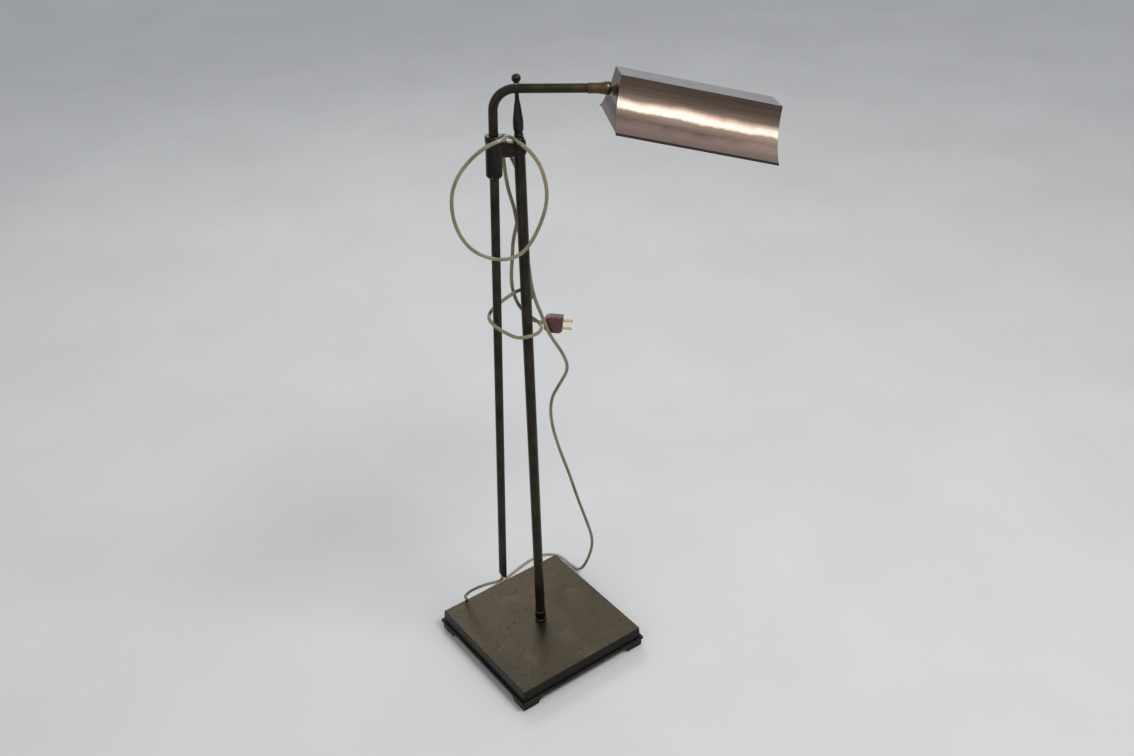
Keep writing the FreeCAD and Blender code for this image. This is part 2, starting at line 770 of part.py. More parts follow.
def make_liners():
    """The outer liner turns in the cup as the shade is panned, the inner one as it is nodded."""
    inner = SIZES["ball_diameter"] / 2 + SIZES["ball_fit"]
    make_liner("inner_liner", nodded_frame, inner, 28, 56)
    outer = inner + SIZES["liner_thick"] + SIZES["ball_fit"]
    make_liner("outer_liner", panned_frame, outer, 26, 44)


# ---------------------------------------------------------------------------------------------
# Shade (shade frame)
# ---------------------------------------------------------------------------------------------

def make_swivel_ball():
    """Ball, neck, shoulder and hollow threaded stem in one turning."""
    body = new_body("swivel_ball", shade_frame)
    ball = radius("ball_diameter")
    neck = radius("neck_diameter")
    stem = radius("stem_diameter")
    way = 2.0
    plate = size("shade_start")
    shoulder = plate - 1.9
    tip = size("holder_start") + 8
    back = -math.sqrt(SIZES["ball_diameter"] ** 2 / 4 - way ** 2)
    front = math.sqrt(SIZES["ball_diameter"] ** 2 / 4 - SIZES["neck_diameter"] ** 2 / 4)
    crown = (0, ball, ball, 1)
    turn_about_x(body, [(tip, way), (back, way), crown, (front, neck, ball, 1), (shoulder, neck),
                        (shoulder, 6.2), (plate - 1, 6.2), (plate - 1, stem), (tip - 0.8, stem),
                        (tip, stem - 0.8)])


def make_shade_washer():
    body = new_body("shade_washer", shade_frame)
    plate = size("shade_start")
    stem = radius("stem_diameter")
    turn_about_x(body, [(plate - 1, stem), (plate - 1, 7.9), (plate - 0.7, 8.2), (plate, 8.2), (plate, stem)])


def make_lock_nut():
    body = new_body("lock_nut", shade_frame)
    sketch = new_sketch(body, "YZ_Plane", size("shade_start") + size("shade_sheet"))
    flat = 7.0
    corner = flat / math.cos(math.radians(30))
    draw(sketch, [(corner, 0), (corner / 2, flat), (-corner / 2, flat), (-corner, 0),
                  (-corner / 2, -flat), (corner / 2, -flat)])
    draw_circle(sketch, 0, 0, radius("stem_diameter"), "thread")
    pad(body, sketch, Dim(3.5, "3.5"))


def shade_side(inset, drop):
    """Corners of the shade's section on the +Y side: the top corner and the mouth, moved in by the
    sheet where inset is 1, and the flare's radius there."""
    sheet_thick = size("shade_sheet") * inset
    top = size("shade_top") - sheet_thick
    half_top = size("shade_top_half") - sheet_thick
    mouth = size("shade_mouth_half") - sheet_thick * 0.45
    low = size("shade_top") - size("shade_height") - sheet_thick * drop
    return half_top, top, mouth, low, size("flare_radius") + sheet_thick


def make_shade_shell():
    """One folded sheet: narrow flat top, two sides that flare in a hollow curve, beaded rims."""
    body = new_body("shade_shell", shade_frame)
    half_top, top, mouth, low, flare = shade_side(0, 0)
    in_top, in_high, in_mouth, in_low, in_flare = shade_side(1, 0.9)
    section = new_sketch(body, "YZ_Plane", size("shade_start"))
    draw(section, [(-half_top, top), (half_top, top), (mouth, low, flare, -1), (in_mouth, in_low),
                   (in_top, in_high, in_flare, 1), (-in_top, in_high), (-in_mouth, in_low, in_flare, 1),
                   (-mouth, low), (-half_top, top, flare, -1)][1:])
    pad(body, section, size("shade_length"))
    bead = radius("rim_bead")
    for tag, side in (("left", -1), ("right", 1)):
        rim = new_sketch(body, "YZ_Plane", size("shade_start"))
        draw_circle(rim, mouth * side, low - 0.3, bead, tag)
        pad(body, rim, size("shade_length"))


def make_end_plates():
    """Flat plates let into the two ends of the shell, just clear of its sides and of the beads; the
    near one takes the stem."""
    in_top, in_high, in_mouth, in_low, in_flare = shade_side(1, 0.9)
    corner = Vector(in_top.number, in_high.number, 0)
    rim = Vector(in_mouth.number, in_low.number, 0)
    centre, _ = arc_centre(corner, rim, in_flare.number, -1)
    flare = in_flare.number + 0.05
    low = SIZES["shade_top"] - SIZES["shade_height"] + 1
    edge_at = lambda height: centre.x - math.sqrt(flare ** 2 - (height - centre.y) ** 2)
    wide = edge_at(low)
    narrow = edge_at(corner.y)
    for label, start in (("end_plate_near", size("shade_start")),
                         ("end_plate_far", size("shade_start") + size("shade_length") - size("shade_sheet"))):
        body = new_body(label, shade_frame)
        outline = new_sketch(body, "YZ_Plane", start)
        draw(outline, [(narrow, in_high), (wide, low, flare, -1), (-wide, low), (-narrow, in_high, flare, -1)])
        if label == "end_plate_near":
            draw_circle(outline, 0, 0, radius("stem_diameter"), "stem")
        pad(body, outline, size("shade_sheet"))


# ---------------------------------------------------------------------------------------------
# Lamp holder (shade frame)
# ---------------------------------------------------------------------------------------------

def make_holder_cap():
    """Brass bell screwed on the stem."""
    body = new_body("holder_cap", shade_frame)
    start = size("holder_start")
    stem = radius("stem_diameter")
    wide = radius("holder_diameter") - 0.7
    wall = 0.8
    turn_about_x(body, [(start, stem), (start, 7.2), (start + 3, 7.2), (start + 6, 12), (start + 11, wide),
                        (start + 18, wide), (start + 18, wide - wall), (start + 11.4, wide - wall),
                        (start + 6.6, 12 - wall), (start + 4, 7.6), (start + 4, stem)])


def make_holder_shell():
    """Brass shell over the cap, with a small bead round its mouth and a hole for the switch."""
    body = new_body("holder_shell", shade_frame)
    start = size("holder_start") + 14
    end = size("holder_end")
    outer = radius("holder_diameter")
    inner = outer - 0.7
    turn_about_x(body, [(start, inner), (start, outer), (end - 2.4, outer), (end, outer, 1.25, 1),
                        (end, inner)])
    hole = new_sketch(body, "XY_Plane")
    draw_circle(hole, size("knob_station"), 0, 3.4, "switch")
    pocket(body, hole, size("holder_diameter"))


def make_holder_body():
    """Phenolic block that carries the screw shell and the switch."""
    body = new_body("holder_body", shade_frame)
    start = size("holder_start") + 18.5
    outer = radius("holder_diameter") - 1.0
    end = size("holder_end") - 27
    turn_about_x(body, [(start, 0), (start, outer), (end, outer), (end, 3.6), (end - 3, 3.6), (end - 3, 0)])
    shaft = new_sketch(body, "XY_Plane")
    draw_circle(shaft, size("knob_station"), 0, Dim(2.05, "2.05"), "shaft")
    pocket(body, shaft, size("holder_diameter"))


def make_screw_shell():
    """Threaded metal shell that takes the lamp's cap."""
    body = new_body("screw_shell", shade_frame)
    start = size("holder_end") - 27
    end = size("holder_end") - 3
    bore = radius("thread_bore")
    outer = bore + 0.5
    turn_about_x(body, [(start, 4.0), (start, outer), (end, outer), (end, bore), (start + 0.6, bore),
                        (start + 0.6, 4.0)])


def make_centre_contact():
    """Springy brass tongue in the middle of the holder, just behind the floor of the screw shell."""
    body = new_body("centre_contact", shade_frame)
    seat = size("holder_end") - 30
    sketch = new_sketch(body, "XZ_Plane", Dim(-1.8, "(0 - 1.8)"))
    draw(sketch, [(seat, -2.6), (seat, 2.6), (seat + 2.2, 2.4), (seat + 3.4, 1.2), (seat + 3.4, -1.2),
                  (seat + 2.8, -1.2), (seat + 2.8, 0.9), (seat + 1.8, 1.8), (seat + 0.6, 1.9),
                  (seat + 0.6, -2.6)])
    pad(body, sketch, Dim(3.6, "3.6"))


def make_switch_knob():
    """Turn knob under the lamp holder: a shaft and a fluted grip."""
    knob_frame = shade_frame.multiply(plane_frame(Vector(SIZES["knob_station"], 0, 0), (X_AXIS, 180)))
    body = new_body("switch_knob", knob_frame)
    shell = SIZES["holder_diameter"] / 2
    grip = SIZES["knob_diameter"] / 2
    grip_low = shell + 1.5
    grip_top = shell + 15
    turn(body, [(0, 6), (2, 6), (2, grip_low), (grip - 0.8, grip_low), (grip, grip_low + 1.5),
                (grip - 0.6, grip_top - 1.5), (grip - 2, grip_top), (0, grip_top)])
    flute = new_sketch(body, "XY_Plane", Dim(grip_top + 1, repr(grip_top + 1)))
    draw_circle(flute, grip + 0.35, 0, 0.9, "flute")
    cut = pocket(body, flute, Dim(grip_top - grip_low - 3, repr(grip_top - grip_low - 3)))
    around_z(body, [cut], 12)


# ---------------------------------------------------------------------------------------------
# Cord: a flat twin lead, here a round tube as wide as it is
# ---------------------------------------------------------------------------------------------

# Points that the free cord is steered by, from the lower end of the tube to the plug.
CORD_FLOOR_RUN = [
    (-62.0, 13.9, 172.0), (-62.5, 14.0, 157.5), (-63.5, 29.0, 140.5), (-69.0, 54.0, 121.0),
    (-75.0, 90.0, 88.0), (-77.0, 118.0, 56.0), (-68.0, 139.5, 26.0), (-52.0, 150.0, 3.0),
    (-15.0, 155.0, 3.0), (22.0, 158.0, 3.0), (57.5, 166.5, 3.0), (81.0, 172.0, 3.0),
    (104.0, 175.5, 3.0), (128.5, 172.5, 3.0), (144.0, 162.0, 3.0), (152.0, 147.0, 3.0),
    (151.5, 118.0, 3.0), (152.0, 87.0, 6.0), (160.0, 70.0, 46.0), (161.0, 57.0, 96.0),
    (142.0, 53.5, 156.5), (122.5, 50.5, 214.5), (102.5, 46.0, 280.5), (82.5, 43.5, 339.0),
    (63.0, 38.0, 406.5), (56.5, 27.5, 459.5), (64.5, 11.5, 494.0), (72.0, -3.0, 526.0),
    (56.5, -8.0, 563.0), (35.5, -6.0, 599.0), (22.0, -6.0, 639.0), (17.0, 3.5, 665.0),
    (13.5, 6.5, 693.0), (11.5, 7.5, 729.0), (5.5, 12.0, 754.5), (1.0, 15.0, 781.5),
    (-1.5, 17.0, 809.0), (-7.5, 20.5, 835.5), (-8.5, 22.25, 849.25)]
CORD_BIG_LOOP = [
    (-8.5, 22.25, 849.25), (-9.5, 24.0, 863.0), (-11.0, 24.0, 888.0), (-18.5, 20.0, 905.0),
    (-22.0, 10.0, 922.5), (-24.0, -4.0, 928.0), (-30.0, -18.0, 931.5), (-42.5, -25.0, 932.5),
    (-57.0, -23.0, 930.0), (-67.5, -14.0, 922.0), (-76.5, 5.0, 903.5), (-91.5, 17.0, 879.0),
    (-99.5, 24.0, 848.0), (-97.0, 23.5, 807.5), (-83.5, 14.0, 773.5), (-63.0, -1.0, 757.0),
    (-37.5, -15.0, 751.0), (-13.0, -24.0, 760.5), (7.0, -32.0, 795.0), (18.5, -38.5, 837.5),
    (13.5, -34.5, 878.5), (3.0, -26.5, 902.0), (-7.5, -20.0, 914.0), (-13.5, -8.0, 922.0),
    (-14.5, 7.0, 922.0), (-11.5, 19.5, 911.5), (-4.0, 24.5, 894.0), (1.5, 22.25, 881.0)]
CORD_SMALL_LOOP = [
    (1.5, 22.25, 881.0), (7.0, 20.0, 868.0), (12.0, 18.0, 842.0), (12.0, 20.0, 812.0),
    (5.0, 22.5, 781.0), (-5.0, 20.0, 757.0), (-8.5, 17.5, 736.5), (-12.5, 19.0, 698.0),
    (-8.0, 18.5, 667.5), (4.5, 17.5, 641.5), (17.0, 11.0, 628.5), (21.5, -1.5, 623.5),
    (16.0, -14.5, 621.5), (3.5, -21.0, 620.5), (-11.0, -19.5, 620.0), (-28.5, -15.5, 621.5),
    (-52.0, -16.5, 641.0), (-61.5, -6.0, 650.5), (-61.0, 8.5, 655.0), (-53.0, 18.5, 657.0),
    (-42.5, 22.0, 662.0), (-29.5, 16.5, 671.5), (-12.0, 12.5, 680.5), (4.5, 13.0, 681.0),
    (18.0, 14.5, 675.5), (24.0, 17.5, 662.5), (19.0, 24.5, 645.0), (17.5, 26.0, 627.0),
    (25.7, 19.7, 614.8), (37.7, 10.9, 613.0)]


def rounded_route(points):
    """Straight runs joined by tangent arcs, and the radius of each arc."""
    edges = []
    bends = []
    corners = [Vector(*point) for point in points]
    here = corners[0]
    for before, corner, after in zip(corners, corners[1:], corners[2:]):
        back = before - corner
        ahead = after - corner
        turn_angle = math.pi - back.getAngle(ahead)
        cut = 0.45 * min(back.Length, ahead.Length)
        bends.append(cut / math.tan(turn_angle / 2))
        enter = corner + back.normalize() * cut
        leave = corner + ahead.normalize() * cut
        inward = ((enter + leave) * 0.5 - corner).normalize()
        crest_reach = bends[-1] / math.cos(turn_angle / 2) - bends[-1]
        edges.append(Part.LineSegment(here, enter).toShape())
        edges.append(Part.Arc(enter, corner + inward * crest_reach, leave).toShape())
        here = leave
    edges.append(Part.LineSegment(here, corners[-1]).toShape())
    return Part.Wire(edges), bends


def make_cord(label, points, across):
    """A round tube along a route, checked against its section times its length."""
    route, bends = rounded_route(points)
    start = Vector(*points[0])
    heading = Vector(*points[1]) - start
    ring = Part.Wire([Part.Circle(start, heading, across / 2).toShape()])
    tube = route.makePipeShell([ring], True, False)
    expected = math.pi * (across / 2) ** 2 * route.Length
    assert abs(tube.Volume - expected) < 0.01 * expected, f"{label} has the wrong volume"
    piece = doc.addObject("Part::Feature", label)
    piece.Shape = tube
    piece.Label = label
    parts[label] = piece
    print(f"{label}: length {route.Length:.0f}, arc radii from {min(bends):.1f}")
    return route.Length


def make_cords():
    across = SIZES["cord_width"]
    total = make_cord("cord_floor_run", CORD_FLOOR_RUN, across)
    total += make_cord("cord_big_loop", CORD_BIG_LOOP, across)
    total += make_cord("cord_small_loop", CORD_SMALL_LOOP, across)
    print(f"free cord, tube to plug: {total:.0f}")


def make_inner_cords():
    """The lead inside the tube: a lower part on its axis, and an upper part that goes round the
    bend and ends behind the ball's springs."""
    thin = Dim(1.9, "1.9")
    lower = new_body("cord_in_tube", tube_frame)
    sketch = new_sketch(lower, "XY_Plane", 5.2 - size("tube_drop"))
    draw_circle(sketch, 0, 0, thin)
    pad(lower, sketch, Dim(470.0, "470"))
    upper = new_body("lead_in_arm", tube_frame)
    start = Dim(-258.0, "(0 - 258)")
    path, edges = tube_path(upper, start, size("arm_end") - 1, size("arm_height"))
    ring = new_sketch(upper, "XY_Plane", start)
    draw_circle(ring, 0, 0, thin)
    pipe = upper.newObject("PartDesign::AdditivePipe", "lead_pipe")
    pipe.Profile = ring
    pipe.Spine = (path, edges)
    finish(pipe)


# ---------------------------------------------------------------------------------------------
# Plug
# ---------------------------------------------------------------------------------------------

PLUG_ENTRY = Vector(*CORD_SMALL_LOOP[-1])
PLUG_FRAME = plane_frame(PLUG_ENTRY, (Z_AXIS, -36.0), (Y_AXIS, 7.0))
# Plug frame: X from the cord to the blades, Z up, Y through the plug's thickness.


def make_plug_body():
    """Moulded two-blade plug: round at the cord, waisted grip, flat face at the blades."""
    body = new_body("plug_body", PLUG_FRAME)
    thick = 15.0
    half = 13.6
    side = new_sketch(body, "XZ_Plane", Dim(-thick / 2, repr(-thick / 2)))
    draw(side, [(0, -6.5), (0, 3.5), (8, half, 11.5, 1), (28.4, half), (28.4, 4 - half), (24.4, -half), (8.5, -half),
                (0, -6.5, 12.5, 1)][1:])
    block = pad(body, side, Dim(thick, repr(thick)))
    round_edges(body, block, 2.4, lambda edge, middle: abs(abs(middle.y) - thick / 2) < 0.01)


def make_plug_blades():
    body = new_body("plug_blades", PLUG_FRAME)
    for tag, height in (("low", -6.35), ("high", 6.35)):
        sketch = new_sketch(body, "XZ_Plane", Dim(-3.2, "(0 - 3.2)"))
        draw(sketch, [(28.4, height - 0.75), (41.5, height - 0.75), (42.6, height), (41.5, height + 0.75),
                      (28.4, height + 0.75)], tag)
        pad(body, sketch, Dim(6.4, "6.4"))


# ---------------------------------------------------------------------------------------------
# Build, check and write
# ---------------------------------------------------------------------------------------------

make_base_cap()
make_base_plate()
make_base_weight()
make_bracket_feet()
make_felt_pads()
make_foot_screws()
drill_feet()
make_base_fastening()
make_tie_rod()
make_post_foot_collar()
make_post_tube()
make_post_bracket()
make_finial()
make_sleeve()
make_sleeve_gland()
make_friction_bush()
make_arm_tube()
make_ferrule()
make_ball_retainer()
make_disc_springs()
make_ball_cup()
make_liners()
make_swivel_ball()
make_shade_washer()
make_lock_nut()
make_shade_shell()
make_end_plates()
make_holder_cap()
make_holder_shell()
make_holder_body()
make_screw_shell()
make_centre_contact()
make_switch_knob()
make_inner_cords()
make_plug_body()
make_plug_blades()
make_cords()
doc.recompute()

for item in doc.Objects:
    assert not {"Invalid", "Error"} & set(item.State), f"{item.Name} is {item.State}"
for label, item in parts.items():
    shape = item.Shape
    assert not shape.isNull() and shape.isValid(), f"{label} has no valid shape"
    assert shape.Solids, f"{label} has no solid"

os.makedirs("parts", exist_ok=True)
for label, item in parts.items():
    item.Shape.exportStep(f"parts/{label}.step")
print(f"{len(parts)} nodes written")
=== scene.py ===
import json
import math
import random

import bmesh
import bpy
from mathutils import Matrix, Vector


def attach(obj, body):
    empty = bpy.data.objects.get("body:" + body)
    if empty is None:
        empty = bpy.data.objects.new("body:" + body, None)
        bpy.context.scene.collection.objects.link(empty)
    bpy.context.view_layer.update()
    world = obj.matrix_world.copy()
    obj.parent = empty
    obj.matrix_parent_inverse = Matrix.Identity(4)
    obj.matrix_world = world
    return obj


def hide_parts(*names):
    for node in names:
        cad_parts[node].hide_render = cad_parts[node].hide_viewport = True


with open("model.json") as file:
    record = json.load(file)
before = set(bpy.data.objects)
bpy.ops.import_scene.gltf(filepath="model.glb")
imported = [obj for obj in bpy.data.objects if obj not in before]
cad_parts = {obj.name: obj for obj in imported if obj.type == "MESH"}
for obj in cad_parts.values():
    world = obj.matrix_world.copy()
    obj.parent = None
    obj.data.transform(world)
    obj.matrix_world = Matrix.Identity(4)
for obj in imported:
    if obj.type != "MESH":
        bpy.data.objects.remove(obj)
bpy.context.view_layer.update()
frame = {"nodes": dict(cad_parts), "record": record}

# An adjustable floor lamp in dark antique bronze, with a long folded shade and a loosely looped cord.

MM = 0.001
random.seed(7)


# ---------------------------------------------------------------------------------------------
# Camera, as the photograph was taken: 1134 x 756, 38 mm lens, looking down from the front left
# ---------------------------------------------------------------------------------------------

IMAGE_WIDTH = 1134
FOCAL_PIXELS = 1200.0
CAMERA_PLACE = Vector((-0.85958, -1.27912, 1.50408))
CAMERA_HEADING = math.radians(54.0)
CAMERA_PITCH = 0.5626129
CAMERA_ROLL = -0.0260950
SENSOR_WIDTH = 36.0


def make_camera():
    level = Vector((math.cos(CAMERA_HEADING), math.sin(CAMERA_HEADING), 0))
    ahead = level * math.cos(CAMERA_PITCH) - Vector((0, 0, math.sin(CAMERA_PITCH)))
    right = ahead.cross(Vector((0, 0, 1))).normalized()
    up = right.cross(ahead)
    turned_right = right * math.cos(CAMERA_ROLL) + up * math.sin(CAMERA_ROLL)
    turned_up = turned_right.cross(ahead)
    data = bpy.data.cameras.new("camera")
    data.sensor_width = SENSOR_WIDTH
    data.lens = FOCAL_PIXELS / IMAGE_WIDTH * SENSOR_WIDTH
    data.clip_start = 0.05
    data.clip_end = 50
    camera = bpy.data.objects.new("camera", data)
    bpy.context.scene.collection.objects.link(camera)
    turn = Matrix((turned_right, turned_up, -ahead)).transposed()
    camera.matrix_world = Matrix.Translation(CAMERA_PLACE) @ turn.to_4x4()
    bpy.context.scene.camera = camera


make_camera()
bpy.context.scene.view_settings.view_transform = "Standard"


# ---------------------------------------------------------------------------------------------
# Frames of the leaning tube and of the shade, as in the CAD
# ---------------------------------------------------------------------------------------------

SLEEVE_CENTRE = (-0.0415, 0, 0.9)
ARM_TURN = -34.0
TUBE_LEAN = 1.95
ARM_HEIGHT = 0.09455        # sleeve centre to arm axis, up the tube
BALL_CENTRE = 0.1489        # along the arm from the tube's axis
SHADE_PAN = 2.1
SHADE_NOD = 12.0
SHADE_ROLL = -5.5


def turned(axis, degrees):
    return Matrix.Rotation(math.radians(degrees), 4, axis)


TUBE = Matrix.Translation(SLEEVE_CENTRE) @ turned("Z", ARM_TURN) @ turned("Y", TUBE_LEAN)
ARM = TUBE @ Matrix.Translation((0, 0, ARM_HEIGHT))
BALL = ARM @ Matrix.Translation((BALL_CENTRE, 0, 0))
SHADE = BALL @ turned("Z", SHADE_PAN) @ turned("Y", SHADE_NOD) @ turned("X", SHADE_ROLL)


# ---------------------------------------------------------------------------------------------
# Mesh helpers
# ---------------------------------------------------------------------------------------------

def new_object(name, mesh, body, material, smooth=True):
    piece = bpy.data.objects.new(name, mesh)
    bpy.context.scene.collection.objects.link(piece)
    mesh.materials.append(material)
    for face in mesh.polygons:
        face.use_smooth = smooth
    if body:
        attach(piece, body)
    return piece


def mesh_from(name, points, faces):
    mesh = bpy.data.meshes.new(name)
    mesh.from_pydata([tuple(point) for point in points], [], faces)
    mesh.update()
    return mesh


# ---------------------------------------------------------------------------------------------
# Material helpers
# ---------------------------------------------------------------------------------------------

# Where the colour mix node keeps its sockets.
MIX_SHARE = 0
MIX_FIRST = 6
MIX_SECOND = 7
MIX_RESULT = 2


class Recipe:
    """A material built from nodes round one Principled shader."""

    def __init__(self, name, metallic=0.0, roughness=0.5, **sockets):
        self.material = bpy.data.materials.new(name)
        self.material.use_nodes = True
        self.tree = self.material.node_tree
        self.shader = self.tree.nodes["Principled BSDF"]
        self.shader.inputs["Metallic"].default_value = metallic
        self.shader.inputs["Roughness"].default_value = roughness
        for socket, value in sockets.items():
            self.shader.inputs[socket.replace("_", " ")].default_value = value
        self.place = self.add("ShaderNodeTexCoord").outputs["Object"]
        self.normal = None

    def add(self, kind, **settings):
        node = self.tree.nodes.new(kind)
        for key, value in settings.items():
            setattr(node, key, value)
        return node

    def feed(self, socket, value):
        if isinstance(value, bpy.types.NodeSocket):
            self.tree.links.new(value, socket)
        else:
            socket.default_value = value

    def stretched(self, scale, rotation=(0, 0, 0), place=None, shift=(0, 0, 0)):
        node = self.add("ShaderNodeMapping")
        self.feed(node.inputs["Vector"], place or self.place)
        node.inputs["Scale"].default_value = scale
        node.inputs["Rotation"].default_value = rotation
        node.inputs["Location"].default_value = shift
        return node.outputs["Vector"]

    def within(self, frame_of):
        """Coordinates in a frame of the object's, for a finish that follows that frame."""
        back = frame_of.inverted()
        return self.stretched((1, 1, 1), tuple(back.to_euler()), shift=tuple(back.translation))

    def part_of(self, vector, axis):
        node = self.add("ShaderNodeSeparateXYZ")
        self.feed(node.inputs[0], vector)
        return node.outputs[axis]

    def facing_up(self, low, high):
        """1 where the surface looks up, 0 where it is steep."""
        true = self.add("ShaderNodeNewGeometry").outputs["Normal"]
        return self.spread(self.part_of(true, "Z"), low, high)

    def noise(self, scale, detail=4.0, roughness=0.55, place=None, distortion=0.0):
        node = self.add("ShaderNodeTexNoise")
        self.feed(node.inputs["Vector"], place or self.place)
        node.inputs["Scale"].default_value = scale
        node.inputs["Detail"].default_value = detail
        node.inputs["Roughness"].default_value = roughness
        node.inputs["Distortion"].default_value = distortion
        return node.outputs["Fac"]

    def cells(self, scale):
        node = self.add("ShaderNodeTexVoronoi")
        self.feed(node.inputs["Vector"], self.place)
        node.inputs["Scale"].default_value = scale
        return node.outputs["Distance"]

    def spread(self, value, low, high, to_low=0.0, to_high=1.0):
        node = self.add("ShaderNodeMapRange")
        self.feed(node.inputs["Value"], value)
        node.inputs["From Min"].default_value = low
        node.inputs["From Max"].default_value = high
        node.inputs["To Min"].default_value = to_low
        node.inputs["To Max"].default_value = to_high
        return node.outputs["Result"]

    def sum(self, first, second, operation="ADD"):
        node = self.add("ShaderNodeMath", operation=operation)
        self.feed(node.inputs[0], first)
        self.feed(node.inputs[1], second)
        return node.outputs["Value"]

    def blend(self, share, first, second):
        node = self.add("ShaderNodeMix", data_type="RGBA")
        self.feed(node.inputs[MIX_SHARE], share)
        for socket, colour in ((MIX_FIRST, first), (MIX_SECOND, second)):
            linked = isinstance(colour, bpy.types.NodeSocket)
            self.feed(node.inputs[socket], colour if linked else (*colour, 1))
        return node.outputs[MIX_RESULT]

    def colour(self, value):
        self.feed(self.shader.inputs["Base Color"], value)

    def rough(self, value):
        self.feed(self.shader.inputs["Roughness"], value)

    def bump(self, height, distance, strength=1.0):
        node = self.add("ShaderNodeBump")
        self.feed(node.inputs["Height"], height)
        node.inputs["Distance"].default_value = distance
        node.inputs["Strength"].default_value = strength
        if self.normal is not None:
            self.tree.links.new(self.normal, node.inputs["Normal"])
        self.normal = node.outputs["Normal"]
        self.feed(self.shader.inputs["Normal"], self.normal)

    def edges(self, width, low=0.02, high=0.25):
        """A mask of the edges, where the rounded normal leaves the true one: used for rubbed wear, and
        on the lampshade for painted shade.
        """
        bevel = self.add("ShaderNodeBevel", samples=6)
        bevel.inputs["Radius"].default_value = width
        true = self.add("ShaderNodeNewGeometry").outputs["Normal"]
        dot = self.add("ShaderNodeVectorMath", operation="DOT_PRODUCT")
        self.tree.links.new(bevel.outputs["Normal"], dot.inputs[0])
        self.tree.links.new(true, dot.inputs[1])
        return self.spread(self.sum(1.0, dot.outputs["Value"], "SUBTRACT"), low, high)


def bronze(name, dark, warm, rub, roughness=0.34, grain=0.0, metallic=0.85, wear=0.0012):
    """Dark antique plating: cloudy patina, fine speckle, rubbed brighter along the edges."""
    made = Recipe(name, metallic=metallic)
    clouds = made.noise(28, 5, 0.6)
    specks = made.noise(420, 3, 0.7)
    base = made.blend(made.spread(clouds, 0.35, 0.68), dark, warm)
    base = made.blend(made.spread(specks, 0.60, 0.74, 0, 0.45), base, rub)
    if wear:
        rubbed = made.sum(made.edges(wear), made.spread(made.noise(90, 4, 0.6), 0.38, 0.62), "MULTIPLY")
        base = made.blend(rubbed, base, rub)
    made.colour(base)
    made.rough(made.spread(made.sum(clouds, made.sum(specks, 0.35, "MULTIPLY")), 0.4, 0.95,
                           roughness - 0.08, roughness + 0.14))
    made.bump(made.noise(900, 2, 0.5), 0.00006)
    if grain:
        made.bump(made.noise(60, 3, 0.6, made.stretched((40, 40, 1))), grain)
    return made.material


def base_top_bronze():
    """The base's cap: a mottled brown top with soft warm clouds, and steep sides painted near-black as
    shade.
    """
    made = Recipe("bronze_base_top", metallic=0.75)
    clouds = made.noise(11, 6, 0.6, distortion=0.4)
    warm = made.noise(23, 5, 0.55, distortion=0.3)
    fine = made.noise(170, 4, 0.65)
    base = made.blend(made.spread(clouds, 0.34, 0.68), (0.030, 0.024, 0.014), (0.066, 0.050, 0.028))
    base = made.blend(made.spread(warm, 0.56, 0.74, 0, 0.5), base, (0.105, 0.064, 0.032))
    base = made.blend(made.spread(fine, 0.56, 0.72, 0, 0.5), base, (0.018, 0.016, 0.011))
    pits = made.cells(95)
    base = made.blend(made.spread(pits, 0.05, 0.12, 0.5, 0), base, (0.010, 0.009, 0.007))
    # Painted shade: where the cap's surface is steep, its colour is turned near-black.
    base = made.blend(made.facing_up(0.25, 0.9), (0.012, 0.011, 0.009), base)
    # Rubbed wear: the cap's edges turned brighter in patches.
    patchy_edges = made.sum(made.edges(0.0014), made.spread(made.noise(70, 4), 0.42, 0.64), "MULTIPLY")
    base = made.blend(patchy_edges, base, (0.16, 0.115, 0.065))
    made.colour(base)
    made.rough(made.spread(made.sum(clouds, made.sum(fine, 0.5, "MULTIPLY")), 0.45, 1.0, 0.30, 0.50))
    made.bump(made.noise(260, 3, 0.6), 0.00016)
    made.bump(made.spread(pits, 0.0, 0.14), 0.0002, 0.6)
    return made.material


